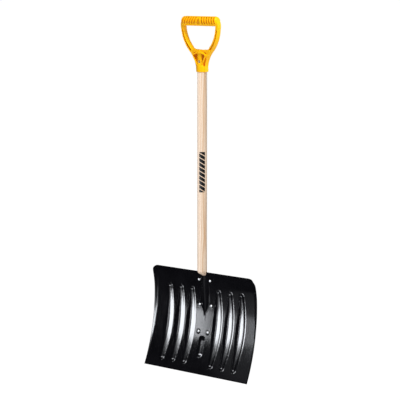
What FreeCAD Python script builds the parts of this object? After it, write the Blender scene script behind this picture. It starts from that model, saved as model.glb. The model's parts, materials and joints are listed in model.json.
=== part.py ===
"""Snow shovel: pressed steel blade, wooden shaft and moulded D-grip, riveted together.

Millimetres. +X is the user's right, -Y is the working (scooping) side, +Z is up the shaft.
Heights in the helper functions are measured from the socket mouth, where the shaft enters the
blade. Every piece is moved at export so that the origin is the middle of the underside of the
grip bar, the point where the shovel hangs on a hook.
"""
import FreeCAD
import Part
import math
import os

V = FreeCAD.Vector

# Blade: one sheet, pressed to shape
BLADE_W = 454.0            # over the two bottom corners
SHEET_T = 1.2
EDGE_Z = -323.4            # cutting edge
CREST_Z = -68.0            # height at which the sheet stands furthest back
CREST_Y = 16.3             # front of the sheet there, behind the shaft axis
LOWER_R = 620.0            # bend of the sheet below the crest
UPPER_R = 237.0            # bend of the sheet above it
RIM_Z = -4.0               # bend line of the top rim
RIM_TOP_Z = 12.2
RIM_SLOPE = math.tan(math.radians(26))
SIDE_CREASE_X = 211.0      # bend line of the side rims at the top
SIDE_SLOPE = math.tan(math.radians(23))
CORNER_R = 26.0

# Stiffening ribs pressed into the blade, hollow behind
RIB_PITCH = 50.2
RIB_FIRST_X = 58.2
RIB_END_HALF_W = 14.0
RIB_MID_HALF_W = 21.0
RIB_CROWN = 0.85           # part of the half width that is rounded forward; the rest is the foot
RIB_H = 5.0
RIB_TOP_Z = -45.0
RIB_BOTTOM_Z = -299.0
MID_RIB_HALF_W = 13.0
MID_RIB_H = 3.6
MID_RIB_TOP_Z = -204.0
MID_RIB_BOTTOM_Z = -272.0

# Socket: the bulge pressed forward between the rivets
SOCKET_HALF_W = 18.5
SOCKET_TIP_HALF_W = 4.0
SOCKET_TAPER_Z = -86.0     # the bulge narrows from here to its tip
RIDGE_TOP_Y = 3.8          # front of the bulge at the mouth
SOCKET_TIP_Z = -132.0
NOTCH_R = 17.6             # half-round notch in the top rim, where the shaft passes
NOTCH_Z = 14.5

# Shaft
SHAFT_R = 16.0
NOSE_H = 20.0              # height of the rounded end in front of the sheet
NOSE_SPARE = 0.5
TENON_END_Z = -118.0
FIT_GAP = 0.2
SEAM = 0.05                # between sheets that lie flat on each other
SHOULDER_Z = 675.0         # inside the grip's collar, the shaft is turned down
SHOULDER_R = 13.6
SHAFT_TOP_Z = 727.0
SHAFT_TOP_R = 11.0

# Back strap
STRAP_T = 1.6
STRAP_TOP_Z = RIM_Z
STRAP_END_Z = MID_RIB_TOP_Z
STRAP_HALF_W_TOP = 35.0
STRAP_HALF_W_END = 30.5

# Blade rivets: half spacing and height of each pair
RIVET_ROWS = {"upper": (24.5, -18.5), "middle": (25.2, -102.0), "lower": (20.5, -189.5)}
RIVET_SHANK_R = 2.5
RIVET_HEAD_R = 4.6
RIVET_HEAD_H = 2.2
RIVET_TAIL_R = 4.0
RIVET_TAIL_H = 1.6

# Strap screw
SCREW_Z = -30.0
SCREW_R = 2.0
SCREW_HEAD_R = 4.2
SCREW_HEAD_H = 2.2
SCREW_BITE = 6.0

# D-grip
COLLAR_Z = 667.0
COLLAR_R = 19.3
COLLAR_TOP_Z = 684.0
BAR_R = 15.5
BAR_Z = 830.5
BAR_HALF_L = 76.0
LEG_HALF_D = 9.0
YOKE_HALF_D = 15.5
SADDLE_Z = 738.0
SADDLE_GROOVE_R = 2.4
GRIP_LEAN = 3.0            # degrees that the D leans towards the working side, over the collar
SOCKET_TUBE_R = 15.8
POCKET_FLOOR = 9.0
GRIP_WALL = 3.2
BOSS_Z = 700.0
BOSS_R = 7.0
BOSS_BORE_R = 4.6
BOSS_SEAT = 12.6
GRIP_RIVET_R = 2.5
GRIP_RIVET_HEAD_H = 2.2

# Middle of the underside of the bar, once the D leans
HOOK_Y = -(BAR_Z - COLLAR_TOP_Z) * math.sin(math.radians(GRIP_LEAN))
HOOK_Z = COLLAR_TOP_Z + (BAR_Z - COLLAR_TOP_Z) * math.cos(math.radians(GRIP_LEAN)) - BAR_R


def lift(shape):
    """Move a piece from mouth heights to the part's own frame."""
    moved = shape.copy()
    moved.translate(V(0, -HOOK_Y, -HOOK_Z))
    return moved


# ---------------------------------------------------------------- sheet surface
def sheet_y(z):
    """Front of the plain sheet, behind the shaft axis, at height z."""
    if z > RIM_Z:
        return sheet_y(RIM_Z) - (z - RIM_Z) * RIM_SLOPE
    radius = UPPER_R if z > CREST_Z else LOWER_R
    return CREST_Y - radius + math.sqrt(radius ** 2 - (z - CREST_Z) ** 2)


def sheet_tilt(z):
    """Lean of the sheet's normal out of the XY plane, in degrees."""
    radius = UPPER_R if z > CREST_Z else LOWER_R
    return math.degrees(math.asin((z - CREST_Z) / radius))


def fade(z, low, high, runout):
    """1 between low and high, falling to 0 over the runout inside each end."""
    inside = min(z - low, high - z) / runout
    return max(0.0, min(1.0, inside))


def crease_x(z):
    """Bend line of the side rim: it reaches the corner at the cutting edge."""
    down = (RIM_TOP_Z - z) / (RIM_TOP_Z - EDGE_Z)
    return SIDE_CREASE_X + (BLADE_W / 2 - 1.0 - SIDE_CREASE_X) * down


def outer_x(z):
    down = (RIM_TOP_Z - z) / (RIM_TOP_Z - EDGE_Z)
    return BLADE_W / 2 - 1.5 * (1 - down)


def socket_half_w(z):
    """Half width of the socket bulge, and of the short middle rib below it."""
    if z < STRAP_END_Z + 1.0:
        return MID_RIB_HALF_W
    along = max(0.0, min(1.0, (SOCKET_TAPER_Z - z) / (SOCKET_TAPER_Z - SOCKET_TIP_Z)))
    return max(SOCKET_TIP_HALF_W, SOCKET_HALF_W * (1 - along ** 1.7))


def ridge_h(z):
    """Height of the socket bulge, or of the short middle rib, over the sheet."""
    if z > SOCKET_TIP_Z:
        tip_y = sheet_y(SOCKET_TIP_Z)
        ridge_y = RIDGE_TOP_Y + (tip_y - RIDGE_TOP_Y) * z / SOCKET_TIP_Z
        return max(0.0, sheet_y(z) - ridge_y)
    return MID_RIB_H * fade(z, MID_RIB_BOTTOM_Z, MID_RIB_TOP_Z, MID_RIB_HALF_W)


def rib_half_w(z):
    """Half width of a rib, which is widest halfway down."""
    along = max(0.0, min(1.0, (RIB_TOP_Z - z) / (RIB_TOP_Z - RIB_BOTTOM_Z)))
    return RIB_END_HALF_W + (RIB_MID_HALF_W - RIB_END_HALF_W) * math.sin(along * math.pi)


def rib_profile():
    """(position, height) across a rib, as parts of its half width and of its height."""
    foot = 1 - RIB_CROWN
    return [(-1, 0), (-RIB_CROWN, foot), (-RIB_CROWN / 2, 1 - RIB_CROWN / 4), (0, 1),
            (RIB_CROWN / 2, 1 - RIB_CROWN / 4), (RIB_CROWN, foot), (1, 0)]


def half_section(z):
    """Front points of the sheet at height z, from the middle to the right edge."""
    y = sheet_y(z)
    half_w = socket_half_w(z)
    points = [(half_w * f, y - ridge_h(z) * math.cos(f * math.pi / 2)) for f in (0.0, 0.35, 0.7, 1.0)]
    rib = RIB_H * fade(z, RIB_BOTTOM_Z, RIB_TOP_Z, RIB_END_HALF_W)
    for i in range(3):
        x = RIB_FIRST_X + RIB_PITCH * i
        points += [(x + rib_half_w(z) * offset, y - rib * rise) for offset, rise in rib_profile()]
    points.append((crease_x(z), y))
    points.append((outer_x(z), y - (outer_x(z) - crease_x(z)) * SIDE_SLOPE))
    return points


def slab_wire(half, thickness, z):
    """Closed wire round a bent strip of constant thickness, mirrored about X = 0."""
    front = [(-x, y) for x, y in reversed(half[1:])] + half
    back = [(x, y + thickness) for x, y in reversed(front)]
    loop = [V(x, y, z) for x, y in front + back]
    return Part.makePolygon(loop + loop[:1])


def blade_heights():
    levels = [RIM_TOP_Z, RIM_Z, -36.0, CREST_Z, SOCKET_TAPER_Z, SOCKET_TIP_Z, -158.0, -237.0, -309.0, EDGE_Z]
    levels += [RIB_TOP_Z, RIB_TOP_Z - RIB_END_HALF_W, RIB_BOTTOM_Z, RIB_BOTTOM_Z + RIB_END_HALF_W]
    levels += [MID_RIB_TOP_Z, MID_RIB_TOP_Z - MID_RIB_HALF_W]
    levels += [MID_RIB_BOTTOM_Z, MID_RIB_BOTTOM_Z + MID_RIB_HALF_W]
    levels += [z + step for half, z in RIVET_ROWS.values() for step in (-5.0, 5.0)]
    return sorted(levels, reverse=True)


def across(radius, y0, y1, x, z):
    """Cylinder along +Y from y0 to y1."""
    return Part.makeCylinder(radius, y1 - y0, V(x, y0, z), V(0, 1, 0))


def top_corner_cut(side):
    """What is cut off a top corner to leave it rounded."""
    edge = outer_x(RIM_TOP_Z)
    cx = edge - CORNER_R
    cz = RIM_TOP_Z - CORNER_R
    block = Part.makeBox(2 * CORNER_R, 80, 2 * CORNER_R, V(cx, -40, cz))
    cut = block.cut(across(CORNER_R, -41, 41, cx, cz))
    return cut if side > 0 else cut.mirror(V(0, 0, 0), V(1, 0, 0))


def make_blade():
    wires = [slab_wire(half_section(z), SHEET_T, z) for z in blade_heights()]
    blade = Part.makeLoft(wires, True, True)
    blade = blade.cut(across(NOTCH_R, -40, 40, 0, NOTCH_Z))
    for side in (-1, 1):
        blade = blade.cut(top_corner_cut(side))
    for half, z in RIVET_ROWS.values():
        for side in (-1, 1):
            blade = blade.cut(rivet_axis_cylinder(side * half, z, RIVET_SHANK_R, -8, 12))
    return blade


# ---------------------------------------------------------------- back strap
def strap_front_y(x, z):
    """Front of the strap: on the back of the sheet, hollowed for the round shaft."""
    plain = sheet_y(z) + SHEET_T + SEAM
    inside = SHAFT_R + FIT_GAP
    if abs(x) >= inside:
        return plain
    return max(plain, math.sqrt(inside ** 2 - x ** 2))


def strap_half_w(z):
    down = (STRAP_TOP_Z - z) / (STRAP_TOP_Z - STRAP_END_Z)
    return STRAP_HALF_W_TOP + (STRAP_HALF_W_END - STRAP_HALF_W_TOP) * down


def make_strap():
    heights = [z for z in blade_heights() if STRAP_END_Z <= z <= STRAP_TOP_Z]
    spots = (0.0, 4.0, 7.5, 10.5, 13.0, 15.0, 17.5)
    wires = []
    for z in heights:
        half = [(x, strap_front_y(x, z)) for x in spots]
        half.append((strap_half_w(z), strap_front_y(SHAFT_R * 2, z)))
        wires.append(slab_wire(half, STRAP_T, z))
    strap = Part.makeLoft(wires, True, True)
    for half, z in RIVET_ROWS.values():
        for side in (-1, 1):
            strap = strap.cut(rivet_axis_cylinder(side * half, z, RIVET_SHANK_R, -8, 12))
    return strap.cut(across(SCREW_R, 0, 40, 0, SCREW_Z))


# ---------------------------------------------------------------- fasteners
def turn_to_sheet(shape, x, z):
    """Stand a piece made along +Y at the origin square to the sheet at (x, z)."""
    turned = shape.copy()
    turned.rotate(V(0, 0, 0), V(1, 0, 0), sheet_tilt(z))
    turned.translate(V(x, sheet_y(z), z))
    return turned


def rivet_axis_cylinder(x, z, radius, y0, y1):
    return turn_to_sheet(across(radius, y0, y1, 0, 0), x, z)


def dome(radius, height):
    """Round head on the XZ plane, rising towards -Y."""
    ball_r = (radius ** 2 + height ** 2) / (2 * height)
    ball = Part.makeSphere(ball_r, V(0, ball_r - height, 0))
    return ball.common(across(radius, -height, 0, 0, 0))


def make_rivet(x, z):
    stack = SHEET_T + STRAP_T + 2 * SEAM
    shank = across(RIVET_SHANK_R, 0, stack, 0, 0)
    tail = across(RIVET_TAIL_R, stack, stack + RIVET_TAIL_H, 0, 0)
    rivet = dome(RIVET_HEAD_R, RIVET_HEAD_H).fuse([shank, tail]).removeSplitter()
    return turn_to_sheet(rivet, x, z)


def make_strap_screw():
    back = SHAFT_R + FIT_GAP + STRAP_T
    head = dome(SCREW_HEAD_R, SCREW_HEAD_H)
    head.rotate(V(0, 0, 0), V(0, 0, 1), 180)
    head.translate(V(0, back, 0))
    tip = SHAFT_R - SCREW_BITE
    shank = across(SCREW_R, tip + SCREW_R, back, 0, 0)
    point = Part.makeCone(0.2, SCREW_R, SCREW_R, V(0, tip, 0), V(0, 1, 0))
    screw = head.fuse([shank, point]).removeSplitter()
    screw.translate(V(0, 0, SCREW_Z))
    return screw


def make_grip_rivet():
    reach = BOSS_SEAT + GRIP_RIVET_HEAD_H
    shank = across(GRIP_RIVET_R, -BOSS_SEAT, BOSS_SEAT, 0, BOSS_Z)
    front = across(BOSS_BORE_R - FIT_GAP, -reach, -BOSS_SEAT, 0, BOSS_Z)
    back = across(BOSS_BORE_R - FIT_GAP, BOSS_SEAT, reach, 0, BOSS_Z)
    rivet = shank.fuse([front, back]).removeSplitter()
    return rivet.cut(across(1.4, -reach - 1, -reach + 3, 0, BOSS_Z))


# ---------------------------------------------------------------- shaft
def nose_wire(z):
    """Room for the rounded end: a half round in front, straight-sided behind."""
    down = 1 - max(0.0, z) / NOSE_H
    radius = max(4.8, (SHAFT_R + NOSE_SPARE) * math.sqrt(1 - down ** 2.5))
    middle = SHAFT_R - radius
    back = 2 * SHAFT_R
    front = Part.Arc(V(-radius, middle, z), V(0, middle - radius, z), V(radius, middle, z)).toShape()
    corners = [V(radius, middle, z), V(radius, back, z), V(-radius, back, z), V(-radius, middle, z)]
    sides = [Part.makeLine(p, q) for p, q in zip(corners, corners[1:])]
    return Part.Wire([front] + sides)


def tenon_wire(z):
    """Room between the socket bulge and the strap at height z."""
    lead = SHEET_T + FIT_GAP
    half_w = socket_half_w(z)
    y = sheet_y(z)
    front = [(half_w * f, y + lead - ridge_h(z) * math.cos(f * math.pi / 2)) for f in (0.0, 0.35, 0.7, 0.95)]
    rear = 2 * SHAFT_R if y + SHEET_T < SHAFT_R else y + SHEET_T - FIT_GAP
    rear = max(rear, front[-1][1] + 0.1)
    half = front + [(half_w * 0.95, rear)]
    loop = [V(-x, py, z) for x, py in reversed(half[1:])] + [V(x, py, z) for x, py in half]
    return Part.makePolygon(loop + loop[:1])


def heel_room():
    """Room behind the top rim, where the round shaft runs down to its flat end."""
    lead = SHEET_T + FIT_GAP
    top_y = sheet_y(RIM_TOP_Z) + 2 * lead
    far = 2 * SHAFT_R
    outline = [(sheet_y(RIM_Z) + lead, RIM_Z), (far, RIM_Z), (far, NOSE_H)]
    outline += [(top_y, NOSE_H), (top_y, RIM_TOP_Z)]
    loop = [V(-far, y, z) for y, z in outline]
    return Part.Face(Part.makePolygon(loop + loop[:1])).extrude(V(2 * far, 0, 0))


def shaft_top(gap):
    """Turned-down end of the shaft, or with a gap the socket that takes it."""
    length = SHAFT_TOP_Z - SHOULDER_Z
    return Part.makeCone(SHOULDER_R + gap, SHAFT_TOP_R + gap, length, V(0, 0, SHOULDER_Z))


def make_shaft():
    core = Part.makeCylinder(SHAFT_R, SHOULDER_Z - TENON_END_Z, V(0, 0, TENON_END_Z))
    top = shaft_top(0.0)
    wide = 3 * SHAFT_R
    above = Part.makeBox(2 * wide, 2 * wide, SHAFT_TOP_Z, V(-wide, -wide, NOSE_H))
    nose = Part.makeLoft([nose_wire(z) for z in (NOSE_H, 17.0, 13.0, 9.0, 5.5, 2.5, -1.0)], True, True)
    heights = [z for z in blade_heights() if TENON_END_Z < z <= RIM_Z] + [TENON_END_Z]
    tenon = Part.makeLoft([tenon_wire(z) for z in heights], True, True)
    room = above.fuse([nose, heel_room(), tenon])
    shaft = core.fuse(top).removeSplitter().common(room).removeSplitter()
    shaft = shaft.cut(across(GRIP_RIVET_R, -30, 30, 0, BOSS_Z))
    return shaft.cut(across(SCREW_R, SHAFT_R - SCREW_BITE, 2 * SHAFT_R, 0, SCREW_Z))


# ---------------------------------------------------------------- D-grip
def arc(a, b, c):
    points = [V(x, 0, z) for x, z in (a, b, c)]
    return Part.Arc(*points).toShape()


def line(a, b):
    return Part.makeLine(V(a[0], 0, a[1]), V(b[0], 0, b[1]))


def plate(edges, half_depth):
    """Right-half outline in the XZ plane, made whole about X = 0 and given depth."""
    half = Part.Face(Part.Wire(edges))
    half.translate(V(0, -half_depth, 0))
    half = half.extrude(V(0, 2 * half_depth, 0))
    return half.fuse(half.mirror(V(0, 0, 0), V(1, 0, 0))).removeSplitter()


def grip_outline(inset):
    """Outside of the D, from the collar to the top, moved in by inset."""
    top = BAR_Z + BAR_R - inset
    foot = (COLLAR_R - inset, COLLAR_Z)
    neck = (COLLAR_R - inset, COLLAR_TOP_Z)
    waist = (43.0 - inset, 731.0 + inset / 2)
    hip = (78.5 - inset, 806.0)
    shoulder = (63.0 - inset, top)
    return [
        line((0, COLLAR_Z), foot),
        line(foot, neck),
        arc(neck, (27.0 - inset, 708.0), waist),
        arc(waist, (68.0 - inset, 766.5), hip),
        arc(hip, (75.5 - inset, 833.0), shoulder),
        line(shoulder, (0, top)),
        line((0, top), (0, COLLAR_Z)),
    ]


def opening_outline():
    """The hand opening below the bar."""
    top = BAR_Z - BAR_R / 2
    side = (69.5, top)
    low = (42.0, 748.5)
    floor = (29.0, SADDLE_Z + 1.5)
    return [
        line((0, SADDLE_Z), floor),
        arc(floor, (37.0, 742.4), low),
        arc(low, (64.0, 785.5), side),
        line(side, (0, top)),
        line((0, top), (0, SADDLE_Z)),
    ]


def leg_pocket_outline():
    """Recess between the two flanges of a leg."""
    top = 803.0
    outer_low = (41.5, 734.5)
    outer_high = (75.4, top)
    inner_high = (70.6, top)
    inner_low = (45.5, 746.5)
    heel = (39.0, 740.0)
    return [
        arc(outer_low, (65.3, 768.1), outer_high),
        line(outer_high, inner_high),
        arc(inner_high, (63.0, 773.0), inner_low),
        line(inner_low, heel),
        line(heel, outer_low),
    ]


def shield_outline(inset):
    """Raised V-shaped frame on the front and back of the yoke."""
    crown = (0, 732.0 - inset)
    shoulder = (29.0 - inset, 722.5 - inset / 2)
    point = (0, 670.5 + 1.6 * inset)
    return [
        arc(crown, (16.0 - inset / 2, 729.6 - inset), shoulder),
        arc(shoulder, (13.6 - inset, 694.0), point),
        line(point, crown),
    ]


def make_bar():
    bar = Part.makeCylinder(BAR_R, 2 * BAR_HALF_L, V(-BAR_HALF_L, 0, BAR_Z), V(1, 0, 0))
    return bar.makeFillet(BAR_R * 0.6, [e for e in bar.Edges if e.Curve.TypeId == "Part::GeomCircle"])


def grip_pockets():
    cuts = []
    for front in (-1, 1):
        pocket = plate(shield_outline(GRIP_WALL), 10.0)
        pocket.translate(V(0, front * (POCKET_FLOOR + 10.0), 0))
        cuts.append(pocket)
        half = Part.Face(Part.Wire(leg_pocket_outline()))
        leg = half.extrude(V(0, front * 10.0, 0))
        leg.translate(V(0, front * (LEG_HALF_D - 5.0), 0))
        cuts += [leg, leg.mirror(V(0, 0, 0), V(1, 0, 0))]
    return cuts


def make_d_grip():
    grip = plate(grip_outline(0.0), LEG_HALF_D).cut(plate(opening_outline(), 30.0))
    grip = grip.fuse([plate(shield_outline(0.0), YOKE_HALF_D), make_bar()])
    grip = grip.cut(grip_pockets())
    grip = grip.cut(across(SADDLE_GROOVE_R, -30, 30, 0, SADDLE_Z))
    grip.rotate(V(0, 0, COLLAR_TOP_Z), V(1, 0, 0), GRIP_LEAN)
    collar = Part.makeCylinder(COLLAR_R, COLLAR_TOP_Z - COLLAR_Z, V(0, 0, COLLAR_Z))
    neck_h = 12.0
    neck = Part.makeCone(COLLAR_R, SOCKET_TUBE_R, neck_h, V(0, 0, COLLAR_TOP_Z))
    tube_z = COLLAR_TOP_Z + neck_h
    tube = Part.makeCylinder(SOCKET_TUBE_R, SADDLE_Z - 8.0 - tube_z, V(0, 0, tube_z))
    boss = across(BOSS_R, -YOKE_HALF_D, YOKE_HALF_D, 0, BOSS_Z)
    grip = grip.fuse([collar, neck, tube, boss]).removeSplitter()
    grip = grip.cut(Part.makeCylinder(SHAFT_R + SEAM, SHOULDER_Z - COLLAR_Z, V(0, 0, COLLAR_Z)))
    grip = grip.cut(shaft_top(SEAM))
    grip = grip.cut(across(GRIP_RIVET_R, -30, 30, 0, BOSS_Z))
    for y in (-30, BOSS_SEAT):
        grip = grip.cut(across(BOSS_BORE_R, y, y + 30 - BOSS_SEAT, 0, BOSS_Z))
    return grip


def make_all():
    pieces = {
        "blade": make_blade(),
        "back_strap": make_strap(),
        "shaft": make_shaft(),
        "d_grip": make_d_grip(),
        "grip_rivet": make_grip_rivet(),
        "strap_screw": make_strap_screw(),
    }
    for row, (half, z) in RIVET_ROWS.items():
        for side, x in (("left", -half), ("right", half)):
            pieces["blade_rivet_%s_%s" % (row, side)] = make_rivet(x, z)
    return pieces


def main():
    os.makedirs("parts", exist_ok=True)
    for name, shape in make_all().items():
        solid = lift(shape)
        box = solid.BoundBox
        print("%-26s valid %s solids %d volume %9.1f box %s" % (
            name, solid.isValid(), len(solid.Solids), solid.Volume,
            [round(v, 1) for v in (box.XMin, box.XMax, box.YMin, box.YMax, box.ZMin, box.ZMax)]))
        solid.exportStep("parts/%s.step" % name)


main()
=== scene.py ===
"""Snow shovel, visual model: pressed black blade, ash shaft and yellow D-grip.

Metres, in the part's own frame: +X is the user's right, -Y the working side, +Z up the shaft,
and the origin is the underside of the grip bar. Heights in the helper functions are measured
from the socket mouth, where the shaft enters the blade; place() moves them into the frame.
"""
import bpy
import bmesh
import json
import math
from mathutils import Euler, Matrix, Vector


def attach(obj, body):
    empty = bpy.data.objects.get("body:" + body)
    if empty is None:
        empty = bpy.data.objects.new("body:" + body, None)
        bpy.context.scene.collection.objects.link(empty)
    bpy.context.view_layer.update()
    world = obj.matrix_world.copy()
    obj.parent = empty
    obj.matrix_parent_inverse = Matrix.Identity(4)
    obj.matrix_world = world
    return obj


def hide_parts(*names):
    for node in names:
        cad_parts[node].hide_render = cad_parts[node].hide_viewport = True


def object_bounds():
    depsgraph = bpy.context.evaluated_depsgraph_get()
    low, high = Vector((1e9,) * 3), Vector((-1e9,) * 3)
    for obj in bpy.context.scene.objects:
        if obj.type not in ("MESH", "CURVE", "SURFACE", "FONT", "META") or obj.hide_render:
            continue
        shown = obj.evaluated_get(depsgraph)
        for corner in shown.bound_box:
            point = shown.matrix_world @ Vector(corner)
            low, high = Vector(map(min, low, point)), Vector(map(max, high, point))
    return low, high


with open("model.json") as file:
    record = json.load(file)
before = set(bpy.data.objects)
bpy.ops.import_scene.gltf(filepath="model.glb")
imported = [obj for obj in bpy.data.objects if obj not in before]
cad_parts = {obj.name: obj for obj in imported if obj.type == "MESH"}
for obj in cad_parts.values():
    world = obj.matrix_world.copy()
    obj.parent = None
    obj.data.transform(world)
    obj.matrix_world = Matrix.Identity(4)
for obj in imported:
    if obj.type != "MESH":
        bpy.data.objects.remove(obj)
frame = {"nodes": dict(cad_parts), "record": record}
CAD_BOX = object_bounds()
NODES = frame["nodes"]

MM = 0.001
MOUNTS = {mount["name"]: Vector(mount["pos_m"]) for mount in frame["record"]["mounts"]}
SHAFT_Y = MOUNTS["shaft_clip"].y            # the shaft's axis behind the origin

# Blade sheet, as designed
BLADE_W = 454.0 * MM
SHEET_T = 1.2 * MM
EDGE_Z = -323.4 * MM
MOUTH_Z = MOUNTS["cutting_edge"].z - EDGE_Z     # the socket mouth below the origin
CREST_Z = -68.0 * MM
CREST_Y = 16.3 * MM
LOWER_R = 620.0 * MM
UPPER_R = 237.0 * MM
RIM_Z = -4.0 * MM
RIM_TOP_Z = 12.2 * MM
RIM_KICK = 0.17             # extra slope of the top rim over the curve below it
RIM_BEND = 6.0 * MM
SIDE_CREASE_X = 211.0 * MM
SIDE_STEEP = math.tan(math.radians(40))
CORNER_R = 26.0 * MM
NOTCH_R = 17.6 * MM
NOTCH_Z = 14.5 * MM

# Pressed shapes
RIB_PITCH = 50.2 * MM
RIB_FIRST_X = 58.2 * MM
RIB_END_HALF_W = 9.0 * MM   # narrower than the CAD ribs, as the photograph shows their tips
RIB_MID_HALF_W = 21.0 * MM
RIB_CROWN = 0.92
RIB_H = 5.0 * MM
RIB_TOP_Z = -45.0 * MM
RIB_BOTTOM_Z = -299.0 * MM
MID_RIB_HALF_W = 13.0 * MM
MID_RIB_H = 3.6 * MM
MID_RIB_TOP_Z = -204.0 * MM
MID_RIB_BOTTOM_Z = -272.0 * MM
SOCKET_HALF_W = 18.5 * MM
SOCKET_TAPER_Z = -86.0 * MM
SOCKET_TIP_Z = -132.0 * MM
SOCKET_CROWN = 0.8
SOCKET_TIP_HALF_W = 4.0 * MM
RIDGE_TOP_Y = 3.8 * MM
DIMPLE_R = 8.5 * MM
DIMPLE_DEPTH = 0.7 * MM

# Fasteners
RIVET_ROWS = {              # distance from the middle, and height
    "upper": (24.5 * MM, -18.5 * MM),
    "middle": (25.2 * MM, -102.0 * MM),
    "lower": (20.5 * MM, -189.5 * MM),
}

# D-grip
BAR_R = 15.5 * MM           # the origin is the underside of the bar
RIDGE_PITCH = 10.4 * MM
RIDGE_FIRST_X = 15.6 * MM   # first groove each side of the middle
RIDGE_LAST_X = 72.5 * MM
RIDGE_LEAN = 0.28           # the grooves lean to the middle as they rise
GROOVE_DEPTH = 2.6 * MM
COLLAR_TOP_Z = 684.0 * MM
BAR_AXIS_Z = 830.5 * MM      # the bar's axis, before the D leans forward from its collar
GRIP_LEAN = math.asin(SHAFT_Y / (BAR_AXIS_Z - COLLAR_TOP_Z))
COLLAR_TOP = Vector((0, SHAFT_Y, MOUTH_Z + COLLAR_TOP_Z))
GRIP_VOXEL = 0.9 * MM

# Growth rings of the wood, round a heart beside the shaft
HEART_X = -46.0 * MM
HEART_Y = 10.0 * MM - SHAFT_Y
HEARTWOOD_R = 42.0 * MM
SAPWOOD_R = 66.0 * MM
RING_STEP = 6.2 * MM
RING_DRIFT = 26.0 * MM
RING_SWAY = 6.0 * MM

# Printed bars on the shaft
PRINT_TURN = math.radians(41)
PRINT_HALF_TURN = math.radians(36)
PRINT_LOW_Z = MOUTH_Z + 276.0 * MM
PRINT_LENGTH = 132.0 * MM
PRINT_SLANT = 9.0 * MM
PRINT_STEP = 14.6 * MM
PRINT_PART = 0.85

# Camera
CAMERA_TURN = math.radians(42.0)
CAMERA_RISE = math.radians(7.4)
CAMERA_DISTANCE = 5.7613
CAMERA_LENS = 158.85
AIM_Z = -0.5658
AIM_LEFT = 0.007

COOL = (0.92, 0.95, 1.0)
FLOOR_DROP = 1.2            # the shovel hangs clear of the floor
FLOOR_HALF = 300.0
WORLD_WHITE = 1.04          # the background
WORLD_LIGHT = 0.40          # its light on the shovel


def place(x, y, z):
    """A point given by its height over the socket mouth, in the part's frame."""
    return Vector((x, y + SHAFT_Y, z + MOUTH_Z))


# ------------------------------------------------------------------ sheet surface
def soft_step(t, width):
    """Smooth version of max(t, 0), rounded over about the given width."""
    return 0.5 * (t + math.sqrt(t * t + width * width))


def window(t, low, high, runout):
    """1 between low and high, falling smoothly to 0 over the runout at each end."""
    f = max(0.0, min(1.0, min(t - low, high - t) / runout + 0.5))
    return f * f * (3 - 2 * f)


def pressed(part, crown=RIB_CROWN):
    """Height of a pressed shape over its half width: a round crown, then a hollow foot."""
    part = abs(part)
    if part >= 1:
        return 0.0
    if part > crown:
        return (1 - part) ** 2 / (1 - crown)
    return 1 - part ** 2 / crown


def plain_sheet_y(z):
    radius = UPPER_R if z > CREST_Z else LOWER_R
    curve = CREST_Y - radius + math.sqrt(radius ** 2 - (z - CREST_Z) ** 2)
    return curve - soft_step(z - RIM_Z, RIM_BEND) * RIM_KICK


def edge_part(z):
    return (RIM_TOP_Z - z) / (RIM_TOP_Z - EDGE_Z)


def crease_x(z):
    return SIDE_CREASE_X + (BLADE_W / 2 - 1.0 * MM - SIDE_CREASE_X) * edge_part(z)


def outer_x(z):
    return BLADE_W / 2 - 1.5 * MM * (1 - edge_part(z))


def side_rim(x, z):
    """How far the side rim stands forward: a steep bend, then a level lip at the edge."""
    width = outer_x(z) - crease_x(z)
    out = abs(x) - crease_x(z)
    steep = soft_step(out - 0.1 * width, 0.12 * width)
    lip = soft_step(out - 0.62 * width, 0.12 * width)
    return SIDE_STEEP * (steep - lip)


def rib_half_w(z):
    """Half width of a rib, which is widest halfway down."""
    along = max(0.0, min(1.0, (RIB_TOP_Z - z) / (RIB_TOP_Z - RIB_BOTTOM_Z)))
    return RIB_END_HALF_W + (RIB_MID_HALF_W - RIB_END_HALF_W) * math.sin(along * math.pi)


def capsule(x, z, middle_x, low, high, end_half_w, half_w):
    """Pressed height at (x, z) of a rib with round ends, as a part of its full height."""
    nearest = max(low + end_half_w, min(high - end_half_w, z))
    return pressed(math.hypot((x - middle_x) / half_w, (z - nearest) / end_half_w))


def socket_half_w(z):
    """Half width of the socket: even from the mouth down, then closing to the tip."""
    along = max(0.0, min(1.0, (SOCKET_TAPER_Z - z) / (SOCKET_TAPER_Z - SOCKET_TIP_Z)))
    return max(SOCKET_TIP_HALF_W, SOCKET_HALF_W * (1 - along ** 1.7))


def socket_bulge(x, z):
    if z < SOCKET_TIP_Z - 20 * MM:
        return 0.0
    tip_y = plain_sheet_y(SOCKET_TIP_Z)
    ridge_y = RIDGE_TOP_Y + (tip_y - RIDGE_TOP_Y) * z / SOCKET_TIP_Z
    rise = soft_step(plain_sheet_y(z) - ridge_y, 0.8 * MM)
    return rise * pressed(x / socket_half_w(z), SOCKET_CROWN)


def dimples(x, z):
    total = 0.0
    for half, rivet_z in RIVET_ROWS.values():
        total += pressed(math.hypot(abs(x) - half, z - rivet_z) / DIMPLE_R)
    return total * DIMPLE_DEPTH


def sheet_front_y(x, z):
    """Front of the pressed sheet at (x, z)."""
    y = plain_sheet_y(z) - side_rim(x, z)
    for i in range(3):
        rib_x = RIB_FIRST_X + RIB_PITCH * i
        long_rib = (RIB_BOTTOM_Z, RIB_TOP_Z, RIB_END_HALF_W, rib_half_w(z))
        y -= RIB_H * capsule(abs(x), z, rib_x, *long_rib)
    middle_rib = (MID_RIB_BOTTOM_Z, MID_RIB_TOP_Z, MID_RIB_HALF_W, MID_RIB_HALF_W)
    y -= MID_RIB_H * capsule(x, z, 0.0, *middle_rib)
    y -= socket_bulge(x, z)
    return y + dimples(x, z)


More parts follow.
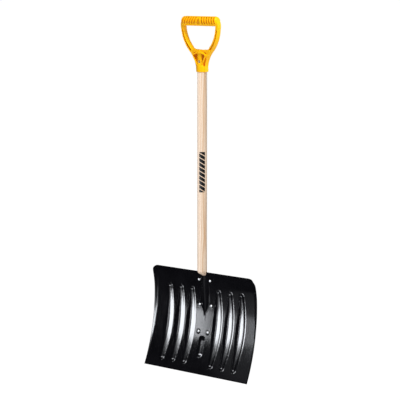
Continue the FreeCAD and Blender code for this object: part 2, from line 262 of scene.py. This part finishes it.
def blade_top_z(x):
    """Upper edge of the sheet at x: a half-round notch for the shaft, and rounded corners."""
    notch_half = math.sqrt(NOTCH_R ** 2 - (NOTCH_Z - RIM_TOP_Z) ** 2)
    corner_x = outer_x(RIM_TOP_Z) - CORNER_R
    if abs(x) < notch_half:
        return NOTCH_Z - math.sqrt(NOTCH_R ** 2 - x ** 2)
    if abs(x) > corner_x:
        return RIM_TOP_Z - CORNER_R + math.sqrt(max(0.0, CORNER_R ** 2 - (abs(x) - corner_x) ** 2))
    return RIM_TOP_Z


def blade_columns():
    """Column positions along the top of the sheet, closer together at the notch and corners."""
    notch_half = math.sqrt(NOTCH_R ** 2 - (NOTCH_Z - RIM_TOP_Z) ** 2)
    corner_x = outer_x(RIM_TOP_Z) - CORNER_R
    half = [notch_half * math.sin(math.radians(i * 7.5)) for i in range(12)]
    steps = 100
    half += [notch_half + (corner_x - notch_half) * i / steps for i in range(steps)]
    half += [corner_x + CORNER_R * math.sin(math.radians(i * 7.5)) for i in range(13)]
    return [-x for x in reversed(half[1:])] + half


def blade_levels():
    """Heights of the rows, closer together at the top rim."""
    levels = [RIM_TOP_Z - 1.5 * MM * i for i in range(22)]
    steps = 150
    low = levels[-1]
    return levels + [low + (EDGE_Z - low) * i / steps for i in range(1, steps + 1)]


# ------------------------------------------------------------------ mesh helpers
def make_object(name, verts, faces, node, material, body="root"):
    mesh = bpy.data.meshes.new(name)
    mesh.from_pydata(verts, [], faces)
    mesh.validate()
    for polygon in mesh.polygons:
        polygon.use_smooth = True
    piece = bpy.data.objects.new(name, mesh)
    bpy.context.scene.collection.objects.link(piece)
    mesh.materials.append(material)
    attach(piece, body)
    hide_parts(node)
    return piece


def shell_faces(n_cols, n_rows):
    """Faces of a closed sheet: front vertices first, then the back ones in the same order."""
    count = n_cols * n_rows
    faces = []
    for r in range(n_rows - 1):
        for c in range(n_cols - 1):
            a = r * n_cols + c
            faces.append((a, a + n_cols, a + n_cols + 1, a + 1))
            faces.append((count + a, count + a + 1, count + a + n_cols + 1, count + a + n_cols))
    border = [c for c in range(n_cols)]
    border += [r * n_cols + n_cols - 1 for r in range(1, n_rows)]
    border += [(n_rows - 1) * n_cols + c for c in range(n_cols - 2, -1, -1)]
    border += [r * n_cols for r in range(n_rows - 2, 0, -1)]
    for a, b in zip(border, border[1:] + border[:1]):
        faces.append((a, b, count + b, count + a))
    return faces


def make_sheet(name, columns, levels, point, thickness, node, material):
    """Closed bent sheet: point(column, level) gives its front, and the back lies behind along +Y."""
    front = [point(x, z) for z in levels for x in columns]
    back = [p + Vector((0, thickness, 0)) for p in front]
    faces = shell_faces(len(columns), len(levels))
    return make_object(name, [tuple(p) for p in front + back], faces, node, material)


def sharp_edges(piece, angle):
    """Shade smooth except across edges sharper than the angle."""
    mesh = bmesh.new()
    mesh.from_mesh(piece.data)
    for edge in mesh.edges:
        edge.smooth = edge.calc_face_angle(0.0) < angle
    mesh.to_mesh(piece.data)
    mesh.free()


# ------------------------------------------------------------------ materials
def new_material(name):
    material = bpy.data.materials.new(name)
    material.use_nodes = True
    tree = material.node_tree
    shader = next(n for n in tree.nodes if n.type == "BSDF_PRINCIPLED")
    return material, tree, shader


def add(tree, kind, inputs=None, **settings):
    node = tree.nodes.new("ShaderNode" + kind)
    for key, value in settings.items():
        setattr(node, key, value)
    for key, value in (inputs or {}).items():
        if isinstance(value, bpy.types.NodeSocket):
            tree.links.new(value, node.inputs[key])
        else:
            node.inputs[key].default_value = value
    return node


def stretched(tree, scale):
    """Object coordinates in metres, scaled along each axis."""
    where = add(tree, "TexCoord").outputs["Object"]
    return add(tree, "Mapping", {"Vector": where, "Scale": scale}).outputs["Vector"]


def noise(tree, scale, detail=3.0, roughness=0.5, stretch=(1, 1, 1)):
    inputs = {"Vector": stretched(tree, stretch), "Scale": scale}
    inputs.update({"Detail": detail, "Roughness": roughness})
    return add(tree, "TexNoise", inputs).outputs["Fac"]


def ramp(tree, factor, stops):
    node = add(tree, "ValToRGB", {"Fac": factor})
    elements = node.color_ramp.elements
    while len(elements) < len(stops):
        elements.new(0.5)
    for element, (position, colour) in zip(elements, stops):
        element.position = position
        element.color = (*colour, 1)
    return node.outputs["Color"]


def between(tree, factor, low, high):
    """A value from low to high as the factor goes from 0 to 1."""
    return add(tree, "MapRange", {"Value": factor, "To Min": low, "To Max": high}).outputs["Result"]


def mixed(tree, factor, a, b):
    node = add(tree, "Mix", data_type="RGBA")
    for socket, value in ((node.inputs["Factor"], factor), (node.inputs[6], a), (node.inputs[7], b)):
        if isinstance(value, bpy.types.NodeSocket):
            tree.links.new(value, socket)
        else:
            socket.default_value = value
    return node.outputs[2]


def bump(tree, height, distance, strength=1.0, under=None):
    inputs = {"Height": height, "Distance": distance, "Strength": strength}
    if under is not None:
        inputs["Normal"] = under
    return add(tree, "Bump", inputs).outputs["Normal"]


def enamel():
    material, tree, shader = new_material("black_enamel")
    peel = noise(tree, 420.0, 2.0)
    haze = noise(tree, 18.0, 4.0)
    colour = ramp(tree, haze, [(0.3, (0.003, 0.003, 0.004)), (0.75, (0.005, 0.005, 0.0065))])
    tree.links.new(colour, shader.inputs["Base Color"])
    tree.links.new(between(tree, haze, 0.09, 0.12), shader.inputs["Roughness"])
    tree.links.new(bump(tree, peel, 0.00003), shader.inputs["Normal"])
    shader.inputs["IOR"].default_value = 1.5
    return material


def maths(tree, operation, a, b=None):
    """Result of one arithmetic step on sockets or numbers."""
    inputs = {0: a} if b is None else {0: a, 1: b}
    return add(tree, "Math", inputs, operation=operation).outputs["Value"]


def growth_rings(tree):
    """Dark part of the growth rings, 0 to 1, and the distance from the heart beside the shaft."""
    where = stretched(tree, (1, 1, 1))
    drift = noise(tree, 5.0, 2.0, 0.5, (1, 1, 0.5))
    sway = noise(tree, 40.0, 2.0, 0.5, (1, 1, 0.09))
    parts = add(tree, "SeparateXYZ", {"Vector": where}).outputs
    x = maths(tree, "ADD", parts["X"], HEART_X)
    y = maths(tree, "ADD", parts["Y"], HEART_Y)
    squares = maths(tree, "ADD", maths(tree, "MULTIPLY", x, x), maths(tree, "MULTIPLY", y, y))
    radius = maths(tree, "SQRT", squares)
    radius = maths(tree, "ADD", radius, maths(tree, "MULTIPLY", drift, RING_DRIFT))
    radius = maths(tree, "ADD", radius, maths(tree, "MULTIPLY", sway, RING_SWAY))
    part = maths(tree, "FRACT", maths(tree, "DIVIDE", radius, RING_STEP))
    return maths(tree, "POWER", part, 3.0), radius


def printed_bars(tree):
    """1 on the printed bars round the shaft's front right, 0 elsewhere: a plain slanted pattern."""
    where = stretched(tree, (1, 1, 1))
    parts = add(tree, "SeparateXYZ", {"Vector": where}).outputs
    turn = maths(tree, "ARCTAN2", parts["X"], maths(tree, "SUBTRACT", SHAFT_Y, parts["Y"]))
    across = maths(tree, "ABSOLUTE", maths(tree, "SUBTRACT", turn, PRINT_TURN))
    inside = maths(tree, "LESS_THAN", across, PRINT_HALF_TURN)
    height = maths(tree, "SUBTRACT", parts["Z"], PRINT_LOW_Z)
    inside = maths(tree, "MULTIPLY", inside, maths(tree, "GREATER_THAN", height, 0.0))
    inside = maths(tree, "MULTIPLY", inside, maths(tree, "LESS_THAN", height, PRINT_LENGTH))
    slant = maths(tree, "ADD", height, maths(tree, "MULTIPLY", turn, PRINT_SLANT))
    stripe = maths(tree, "FRACT", maths(tree, "DIVIDE", slant, PRINT_STEP))
    wear = noise(tree, 900.0, 4.0, 0.7)
    worn = maths(tree, "ADD", stripe, maths(tree, "MULTIPLY", wear, 0.08))
    return maths(tree, "MULTIPLY", inside, maths(tree, "LESS_THAN", worn, PRINT_PART))


def wood():
    material, tree, shader = new_material("pale_ash")
    rings, radius = growth_rings(tree)
    fibre = noise(tree, 700.0, 5.0, 0.65, (1, 1, 0.02))
    pores = noise(tree, 1500.0, 2.0, 0.5, (1, 1, 0.035))
    shade = noise(tree, 9.0, 3.0, 0.5, (1, 1, 0.3))
    pale = mixed(tree, shade, (0.85, 0.75, 0.675, 1), (0.81, 0.69, 0.58, 1))
    reach = {"From Min": HEARTWOOD_R, "From Max": SAPWOOD_R, "To Min": 0.7, "To Max": 0.0}
    older = add(tree, "MapRange", {"Value": radius, **reach}).outputs["Result"]
    pale = mixed(tree, older, pale, (0.74, 0.55, 0.37, 1))
    colour = mixed(tree, maths(tree, "MULTIPLY", rings, 0.95), pale, (0.56, 0.30, 0.12, 1))
    colour = mixed(tree, between(tree, fibre, -0.1, 0.42), colour, (0.70, 0.50, 0.33, 1))
    dots = maths(tree, "MULTIPLY", maths(tree, "GREATER_THAN", pores, 0.66), 0.35)
    colour = mixed(tree, dots, colour, (0.45, 0.26, 0.12, 1))
    colour = mixed(tree, printed_bars(tree), colour, (0.004, 0.004, 0.005, 1))
    tree.links.new(colour, shader.inputs["Base Color"])
    tree.links.new(between(tree, fibre, 0.38, 0.6), shader.inputs["Roughness"])
    grain = bump(tree, fibre, 0.00012)
    tree.links.new(bump(tree, rings, 0.00008, 1.0, grain), shader.inputs["Normal"])
    return material


def plastic():
    """Moulded yellow polypropylene: fine spark-eroded texture, and painted shade: a deeper orange laid
    into the recesses and bar grooves.
    """
    material, tree, shader = new_material("yellow_polypropylene")
    mottling = noise(tree, 90.0, 3.0)
    texture = noise(tree, 1600.0, 2.0)
    painted_shade = add(tree, "Attribute", attribute_name="painted_shade").outputs["Fac"]
    colour = ramp(tree, mottling, [(0.3, (0.92, 0.45, 0.002)), (0.7, (0.94, 0.49, 0.004))])
    # painted shade: a deeper orange laid into the grip's recesses and bar grooves, standing in for the
    # shade they catch
    colour = mixed(tree, painted_shade, colour, (0.60, 0.13, 0.0005, 1))
    tree.links.new(colour, shader.inputs["Base Color"])
    tree.links.new(between(tree, mottling, 0.34, 0.46), shader.inputs["Roughness"])
    tree.links.new(bump(tree, texture, 0.000015), shader.inputs["Normal"])
    shader.inputs["Specular IOR Level"].default_value = 0.3
    shader.inputs["Specular Tint"].default_value = (1.0, 0.7, 0.15, 1)
    return material


def metal(name, colour, rough):
    material, tree, shader = new_material(name)
    scuffs = noise(tree, 900.0, 3.0)
    tree.links.new(between(tree, scuffs, rough - 0.05, rough + 0.1), shader.inputs["Roughness"])
    shader.inputs["Metallic"].default_value = 1.0
    shader.inputs["Base Color"].default_value = (*colour, 1)
    tree.links.new(bump(tree, scuffs, 0.00002), shader.inputs["Normal"])
    return material


# ------------------------------------------------------------------ pieces
def make_blade(material):
    def point(x, z):
        z = blade_top_z(x) + (z - RIM_TOP_Z) * (EDGE_Z - blade_top_z(x)) / (EDGE_Z - RIM_TOP_Z)
        x = x * outer_x(z) / outer_x(RIM_TOP_Z)
        return place(x, sheet_front_y(x, z), z)
    blade = make_sheet("blade_sheet", blade_columns(), blade_levels(), point, SHEET_T, "blade", material)
    sharp_edges(blade, math.radians(40))
    return blade


def bar_carving(x, v):
    """Depth cut into the grip bar at x, v above its axis: leaning grooves and a middle motif."""
    u = abs(x) + RIDGE_LEAN * v
    wave = 0.5 + 0.5 * math.cos(2 * math.pi * (u - RIDGE_FIRST_X) / RIDGE_PITCH)
    grooves = wave ** 1.3 * window(u, RIDGE_FIRST_X - RIDGE_PITCH / 2, RIDGE_LAST_X, 2 * MM)
    arrow = window(v, 2.5 * MM, 12 * MM - 1.9 * abs(x), 1.5 * MM)
    lozenge = window(7 * MM - abs(x) - 0.5 * abs(v + 6.0 * MM), 0.0, 1.0, 1.5 * MM)
    return GROOVE_DEPTH * min(1.0, grooves + 0.8 * arrow + 0.6 * lozenge)


def bar_depth(p):
    """Depth of the bar's ridging at a point of the grip."""
    v = p.z - BAR_R
    out = math.hypot(p.y, v)
    if abs(p.x) > RIDGE_LAST_X + 6 * MM or abs(out - BAR_R) > 1.5 * MM:
        return 0.0
    from_top = math.degrees(math.acos(max(-1.0, min(1.0, v / out))))
    return bar_carving(p.x, v) * window(from_top, 18.0, 124.0, 12.0)


def painted_shade_part(p, normal):
    """Painted shade mask: 1 on the floors of the recesses in the legs and the yoke, 0 elsewhere."""
    local = p - COLLAR_TOP
    local.rotate(Euler((-GRIP_LEAN, 0, 0)))
    if abs(normal.y) < 0.5 or local.z < -10 * MM or local.z > 121 * MM:
        return 0.0
    yoke = 2 * MM < local.z < 47 * MM and abs(local.x) < 27 * MM
    level = 11.0 * MM if yoke else 7.5 * MM
    return window(abs(local.y), 0.0, level, 2 * MM)


def make_grip(material):
    """The D-grip as moulded: edges rounded over, and the bar ridged for the fingers."""
    rough = bmesh.new()
    rough.from_mesh(NODES["d_grip"].data)
    bmesh.ops.remove_doubles(rough, verts=rough.verts, dist=0.005 * MM)
    mesh = bpy.data.meshes.new("d_grip_rough")
    rough.to_mesh(mesh)
    rough.free()
    grip = bpy.data.objects.new("d_grip_moulding", mesh)
    bpy.context.scene.collection.objects.link(grip)
    remesh = grip.modifiers.new("remesh", "REMESH")
    remesh.mode = "VOXEL"
    remesh.voxel_size = GRIP_VOXEL
    smooth = grip.modifiers.new("smooth", "SMOOTH")
    smooth.iterations = 3
    even = bpy.data.meshes.new_from_object(grip.evaluated_get(bpy.context.evaluated_depsgraph_get()))
    grip.modifiers.clear()
    grip.data = even
    places = [(vertex.co.copy(), vertex.normal.copy()) for vertex in even.vertices]
    # painted shade: each vertex gets a mask, 1 in the bar grooves and on the recess floors, which darkens
    # the plastic to a deeper orange there
    painted_shade = []
    for vertex, (p, normal) in zip(even.vertices, places):
        depth = bar_depth(p)
        painted_shade.append(max(depth / GROOVE_DEPTH, painted_shade_part(p, normal)))
        vertex.co = p - (p - Vector((p.x, 0, BAR_R))).normalized() * depth
    even.attributes.new("painted_shade", "FLOAT", "POINT").data.foreach_set("value", painted_shade)
    for polygon in even.polygons:
        polygon.use_smooth = True
    even.materials.clear()
    even.materials.append(material)
    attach(grip, "root")
    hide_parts("d_grip")
    return grip


def dress(node, material):
    """Give a CAD mesh that is shown as it is its material."""
    mesh = NODES[node].data
    mesh.materials.clear()
    mesh.materials.append(material)


# ------------------------------------------------------------------ camera, floor and light
def make_camera():
    right = Vector((math.cos(CAMERA_TURN), math.sin(CAMERA_TURN), 0))
    back = Vector((math.sin(CAMERA_TURN) * math.cos(CAMERA_RISE),
                   -math.cos(CAMERA_TURN) * math.cos(CAMERA_RISE), math.sin(CAMERA_RISE)))
    data = bpy.data.cameras.new("camera")
    data.lens = CAMERA_LENS
    data.sensor_width = 36.0
    data.clip_end = 1000.0
    camera = bpy.data.objects.new("camera", data)
    camera.location = Vector((0, SHAFT_Y, AIM_Z)) - AIM_LEFT * right + CAMERA_DISTANCE * back
    camera.rotation_mode = "QUATERNION"
    camera.rotation_quaternion = (-back).to_track_quat("-Z", "Y")
    bpy.context.scene.collection.objects.link(camera)
    bpy.context.scene.camera = camera


def make_floor():
    mesh = bpy.data.meshes.new("floor")
    half = FLOOR_HALF
    z = CAD_BOX[0].z - FLOOR_DROP
    corners = [(-half, -half, z), (half, -half, z), (half, half, z), (-half, half, z)]
    mesh.from_pydata(corners, [], [(0, 1, 2, 3)])
    floor = bpy.data.objects.new("floor", mesh)
    bpy.context.scene.collection.objects.link(floor)
    material, tree, shader = new_material("pale_floor")
    shader.inputs["Base Color"].default_value = (0.93, 0.93, 0.93, 1)
    shader.inputs["Roughness"].default_value = 0.9
    shader.inputs["Specular IOR Level"].default_value = 0.0
    shader.inputs["Emission Color"].default_value = (1, 1, 1, 1)
    shader.inputs["Emission Strength"].default_value = WORLD_WHITE - WORLD_LIGHT
    mesh.materials.append(material)
    floor.visible_glossy = False


def make_world():
    world = bpy.data.worlds.new("studio")
    world.use_nodes = True
    background = world.node_tree.nodes["Background"]
    background.inputs["Color"].default_value = (1, 1, 1, 1)
    tree = world.node_tree
    seen = add(tree, "LightPath").outputs["Is Camera Ray"]
    tree.links.new(between(tree, seen, WORLD_LIGHT, WORLD_WHITE), background.inputs["Strength"])
    world.cycles_visibility.glossy = False
    bpy.context.scene.world = world


def softbox(name, turn, rise, distance, size, radiance, aim, diffuse=True, glossy=True, colour=(1, 1, 1)):
    """Area light round the aim point; turn is 0 in front, positive towards +X, in degrees."""
    turn = math.radians(turn)
    rise = math.radians(rise)
    data = bpy.data.lights.new(name, "AREA")
    data.shape = "RECTANGLE"
    data.size, data.size_y = size
    data.energy = radiance * math.pi * size[0] * size[1]
    data.color = colour
    lamp = bpy.data.objects.new(name, data)
    out = Vector((math.sin(turn) * math.cos(rise), -math.cos(turn) * math.cos(rise), math.sin(rise)))
    lamp.location = Vector(aim) + distance * out
    lamp.rotation_mode = "QUATERNION"
    lamp.rotation_quaternion = (-out).to_track_quat("-Z", "Y")
    lamp.visible_camera = False
    lamp.visible_diffuse = diffuse
    lamp.visible_glossy = glossy
    bpy.context.scene.collection.objects.link(lamp)
    return lamp


def link_light(lamp, piece, state):
    """Let the lamp light only the piece (INCLUDE), or everything but the piece (EXCLUDE)."""
    group = bpy.data.collections.new(lamp.name + "_pieces")
    group.objects.link(piece)
    group.collection_objects[0].light_linking.link_state = state
    lamp.light_linking.receiver_collection = group


def make_lights(grip):
    blade_aim = place(0, 0, -0.15)
    softbox("rib_light", -11.5, 3.0, 1.0, (0.555, 0.155), 25.0, blade_aim, diffuse=False, colour=COOL)
    softbox("flank_light", 8.0, 3.0, 1.0, (0.14, 0.2), 5.0, blade_aim, diffuse=False, colour=COOL)
    softbox("edge_light", -36.0, 1.5, 1.5, (0.19, 0.25), 2.5, blade_aim, diffuse=False, colour=COOL)
    softbox("strip_light", -42.2, 1.5, 1.5, (0.08, 0.23), 10.5, blade_aim, diffuse=False, colour=COOL)
    softbox("fade_light", -14.0, 2.0, 1.6, (1.1, 0.62), 1.4, blade_aim, diffuse=False, colour=COOL)
    softbox("haze_light", -24.0, 0.0, 1.7, (1.0, 1.3), 0.2, blade_aim, diffuse=False, colour=COOL)
    key = softbox("key_light", 22.0, 48.0, 3.0, (1.1, 1.1), 17.0, (0, 0, -0.5))
    link_light(key, grip, "EXCLUDE")
    grip_key = softbox("grip_light", 70.0, 50.0, 3.0, (0.9, 0.9), 46.0, (0, 0, -0.05))
    link_light(grip_key, grip, "INCLUDE")
    softbox("side_light", 138.0, 8.0, 2.5, (1.8, 1.4), 1.5, (0, 0, -0.1), diffuse=False)
    softbox("back_light", 142.0, -33.0, 1.3, (1.3, 1.1), 2.0, blade_aim, diffuse=False, colour=COOL)


MATERIALS = {
    "enamel": enamel(),
    "wood": wood(),
    "plastic": plastic(),
    "aluminium": metal("aluminium", (0.95, 0.95, 0.96), 0.5),
    "dull_rivet": metal("dull_rivet", (0.80, 0.70, 0.48), 0.55),
    "steel": metal("zinc_steel", (0.62, 0.63, 0.65), 0.3),
}
make_camera()
make_world()
make_floor()
make_blade(MATERIALS["enamel"])
make_lights(make_grip(MATERIALS["plastic"]))
dress("shaft", MATERIALS["wood"])
dress("back_strap", MATERIALS["enamel"])
dress("strap_screw", MATERIALS["steel"])
dress("grip_rivet", MATERIALS["dull_rivet"])
for row in RIVET_ROWS:
    for side in ("left", "right"):
        dress(f"blade_rivet_{row}_{side}", MATERIALS["aluminium"])

scene = bpy.context.scene
scene.view_settings.view_transform = "Standard"
